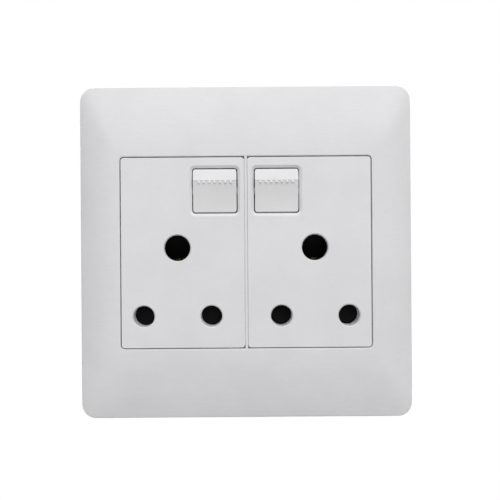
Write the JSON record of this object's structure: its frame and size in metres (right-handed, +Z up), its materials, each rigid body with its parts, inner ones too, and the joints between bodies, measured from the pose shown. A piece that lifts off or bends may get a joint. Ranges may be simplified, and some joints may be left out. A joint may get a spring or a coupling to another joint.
{
  "type": "double wall socket",
  "caption": "Square domed wall plate holding a mirrored pair of three-round-pin mains sockets, each with a rocker switch, pin shutter, contacts and wire terminals.",
  "frame": {"origin": "centre of the plate on the wall plane", "axes": "+X to the right seen from the front, +Z up, +Y into the wall; the face looks towards -Y"},
  "size_m": [0.1258, 0.0344, 0.1258],
  "materials": {
    "frame_white": "gloss",
    "cover_white": "gloss",
    "rocker_white": "gloss",
    "yoke_plastic": "matte",
    "base_black": "matte",
    "shutter_black": "matte",
    "plunger_plastic": "matte",
    "brass": "satin",
    "steel": "satin",
    "spring_steel": "satin"
  },
  "bodies": {
    "housing": {"outer_frame": "frame_white", "support_yoke": "yoke_plastic", "left_cover": "cover_white", "left_base": "base_black", "left_supply_terminal": "brass", "left_switched_contact": "brass", "left_plain_contact": "brass", "left_earth_contact": "brass", "left_terminal_screws": "steel", "left_housing_screws": "steel", "left_shutter_spring": "spring_steel", "right_cover": "cover_white", "right_base": "base_black", "right_supply_terminal": "brass", "right_switched_contact": "brass", "right_plain_contact": "brass", "right_earth_contact": "brass", "right_terminal_screws": "steel", "right_housing_screws": "steel", "right_shutter_spring": "spring_steel"},
    "left_rocker": {"left_rocker": "rocker_white", "left_plunger_spring": "spring_steel"},
    "left_plunger": {"left_plunger": "plunger_plastic"},
    "left_seesaw": {"left_seesaw_contact": "brass"},
    "left_shutter": {"left_shutter": "shutter_black"},
    "right_rocker": {"right_rocker": "rocker_white", "right_plunger_spring": "spring_steel"},
    "right_plunger": {"right_plunger": "plunger_plastic"},
    "right_seesaw": {"right_seesaw_contact": "brass"},
    "right_shutter": {"right_shutter": "shutter_black"}
  },
  "joints": [
    {"name": "left_rocker_switch", "type": "hinge", "parent": "housing", "child": "left_rocker", "pos_m": [-0.0116, -0.006, 0.0232], "axis": [-1, 0, 0], "range_deg": [0, 10]},
    {"name": "left_plunger_slide", "type": "slide", "parent": "left_rocker", "child": "left_plunger", "axis": [0, -0.9962, -0.0872], "range_m": [0, 0.0008], "stiffness_N_per_m": 500, "springref_m": -0.001, "deforming": ["left_plunger_spring"]},
    {"name": "left_seesaw_tilt", "type": "hinge", "parent": "housing", "child": "left_seesaw", "pos_m": [-0.0116, 0.009, 0.0232], "axis": [-1, 0, 0], "range_deg": [-12, 0]},
    {"name": "left_shutter_slide", "type": "slide", "parent": "housing", "child": "left_shutter", "axis": [0, 0, 1], "range_m": [0, 0.0088], "stiffness_N_per_m": 60, "springref_m": -0.006, "deforming": ["left_shutter_spring"]},
    {"name": "right_rocker_switch", "type": "hinge", "parent": "housing", "child": "right_rocker", "pos_m": [0.0116, -0.006, 0.0232], "axis": [-1, 0, 0], "range_deg": [0, 10]},
    {"name": "right_plunger_slide", "type": "slide", "parent": "right_rocker", "child": "right_plunger", "axis": [0, -0.9962, -0.0872], "range_m": [0, 0.0008], "stiffness_N_per_m": 500, "springref_m": -0.001, "deforming": ["right_plunger_spring"]},
    {"name": "right_seesaw_tilt", "type": "hinge", "parent": "housing", "child": "right_seesaw", "pos_m": [0.0116, 0.009, 0.0232], "axis": [-1, 0, 0], "range_deg": [-12, 0]},
    {"name": "right_shutter_slide", "type": "slide", "parent": "housing", "child": "right_shutter", "axis": [0, 0, 1], "range_m": [0, 0.0088], "stiffness_N_per_m": 60, "springref_m": -0.006, "deforming": ["right_shutter_spring"]}
  ],
  "couplings": [
    {"joint": "left_seesaw_tilt", "follows": "left_rocker_switch", "ratio": -1.2},
    {"joint": "right_seesaw_tilt", "follows": "right_rocker_switch", "ratio": -1.2}
  ]
}
